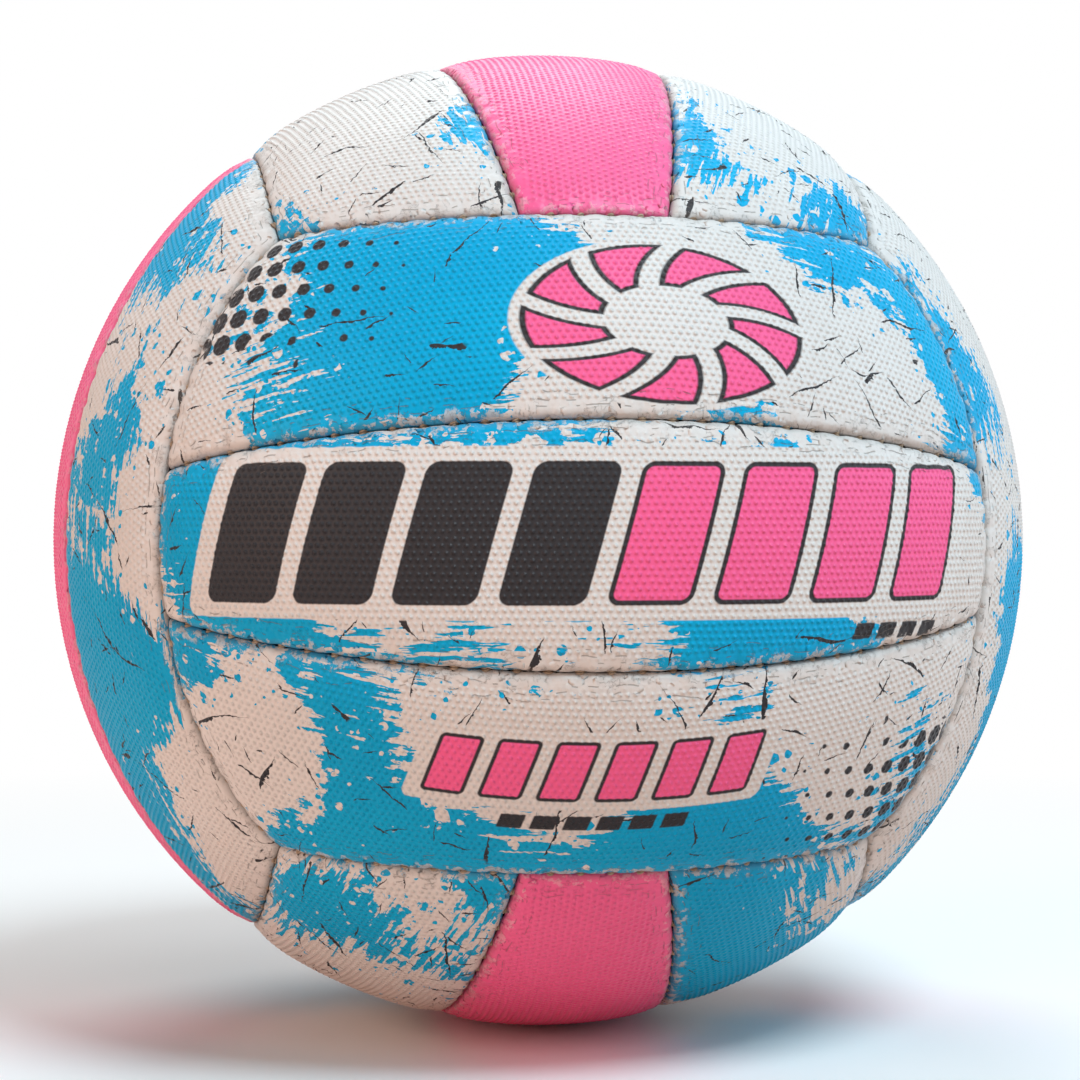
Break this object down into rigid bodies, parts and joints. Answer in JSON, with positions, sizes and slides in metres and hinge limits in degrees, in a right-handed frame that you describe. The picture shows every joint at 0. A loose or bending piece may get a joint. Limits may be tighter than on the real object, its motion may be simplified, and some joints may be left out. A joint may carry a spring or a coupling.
{
  "type": "netball",
  "caption": "Inflatable hand-stitched netball: a pimpled rubber cover in long pillowed panels over cloth linings, laced round an air bladder with a needle valve.",
  "frame": {"origin": "centre of the ball", "axes": "+X out through the valve in the middle of the right face, -Y out of the face seen from the front, +Z out of the top face"},
  "size_m": [0.2227, 0.2228, 0.2228],
  "materials": {
    "printed_rubber": "satin",
    "pink_rubber": "satin",
    "lining_cloth": "matte",
    "butyl_rubber": "satin",
    "valve_rubber": "satin",
    "thread": "matte"
  },
  "bodies": {
    "root": {"front_upper_panel": "printed_rubber", "front_middle_panel": "printed_rubber", "front_lower_panel": "printed_rubber", "back_upper_panel": "printed_rubber", "back_middle_panel": "printed_rubber", "back_lower_panel": "printed_rubber", "left_rear_panel": "printed_rubber", "left_middle_panel": "pink_rubber", "left_front_panel": "printed_rubber", "right_rear_panel": "printed_rubber", "right_middle_panel": "pink_rubber", "right_front_panel": "printed_rubber", "top_right_panel": "printed_rubber", "top_middle_panel": "pink_rubber", "top_left_panel": "printed_rubber", "bottom_right_panel": "printed_rubber", "bottom_middle_panel": "pink_rubber", "bottom_left_panel": "printed_rubber", "front_upper_lining": "lining_cloth", "front_middle_lining": "lining_cloth", "front_lower_lining": "lining_cloth", "back_upper_lining": "lining_cloth", "back_middle_lining": "lining_cloth", "back_lower_lining": "lining_cloth", "left_rear_lining": "lining_cloth", "left_middle_lining": "lining_cloth", "left_front_lining": "lining_cloth", "right_rear_lining": "lining_cloth", "right_middle_lining": "lining_cloth", "right_front_lining": "lining_cloth", "top_right_lining": "lining_cloth", "top_middle_lining": "lining_cloth", "top_left_lining": "lining_cloth", "bottom_right_lining": "lining_cloth", "bottom_middle_lining": "lining_cloth", "bottom_left_lining": "lining_cloth", "front_stitching": "thread", "back_stitching": "thread", "left_stitching": "thread", "right_stitching": "thread", "top_stitching": "thread", "bottom_stitching": "thread", "bladder": "butyl_rubber", "valve_patch": "valve_rubber", "valve_body": "valve_rubber", "valve_plug": "valve_rubber"}
  },
  "joints": []
}
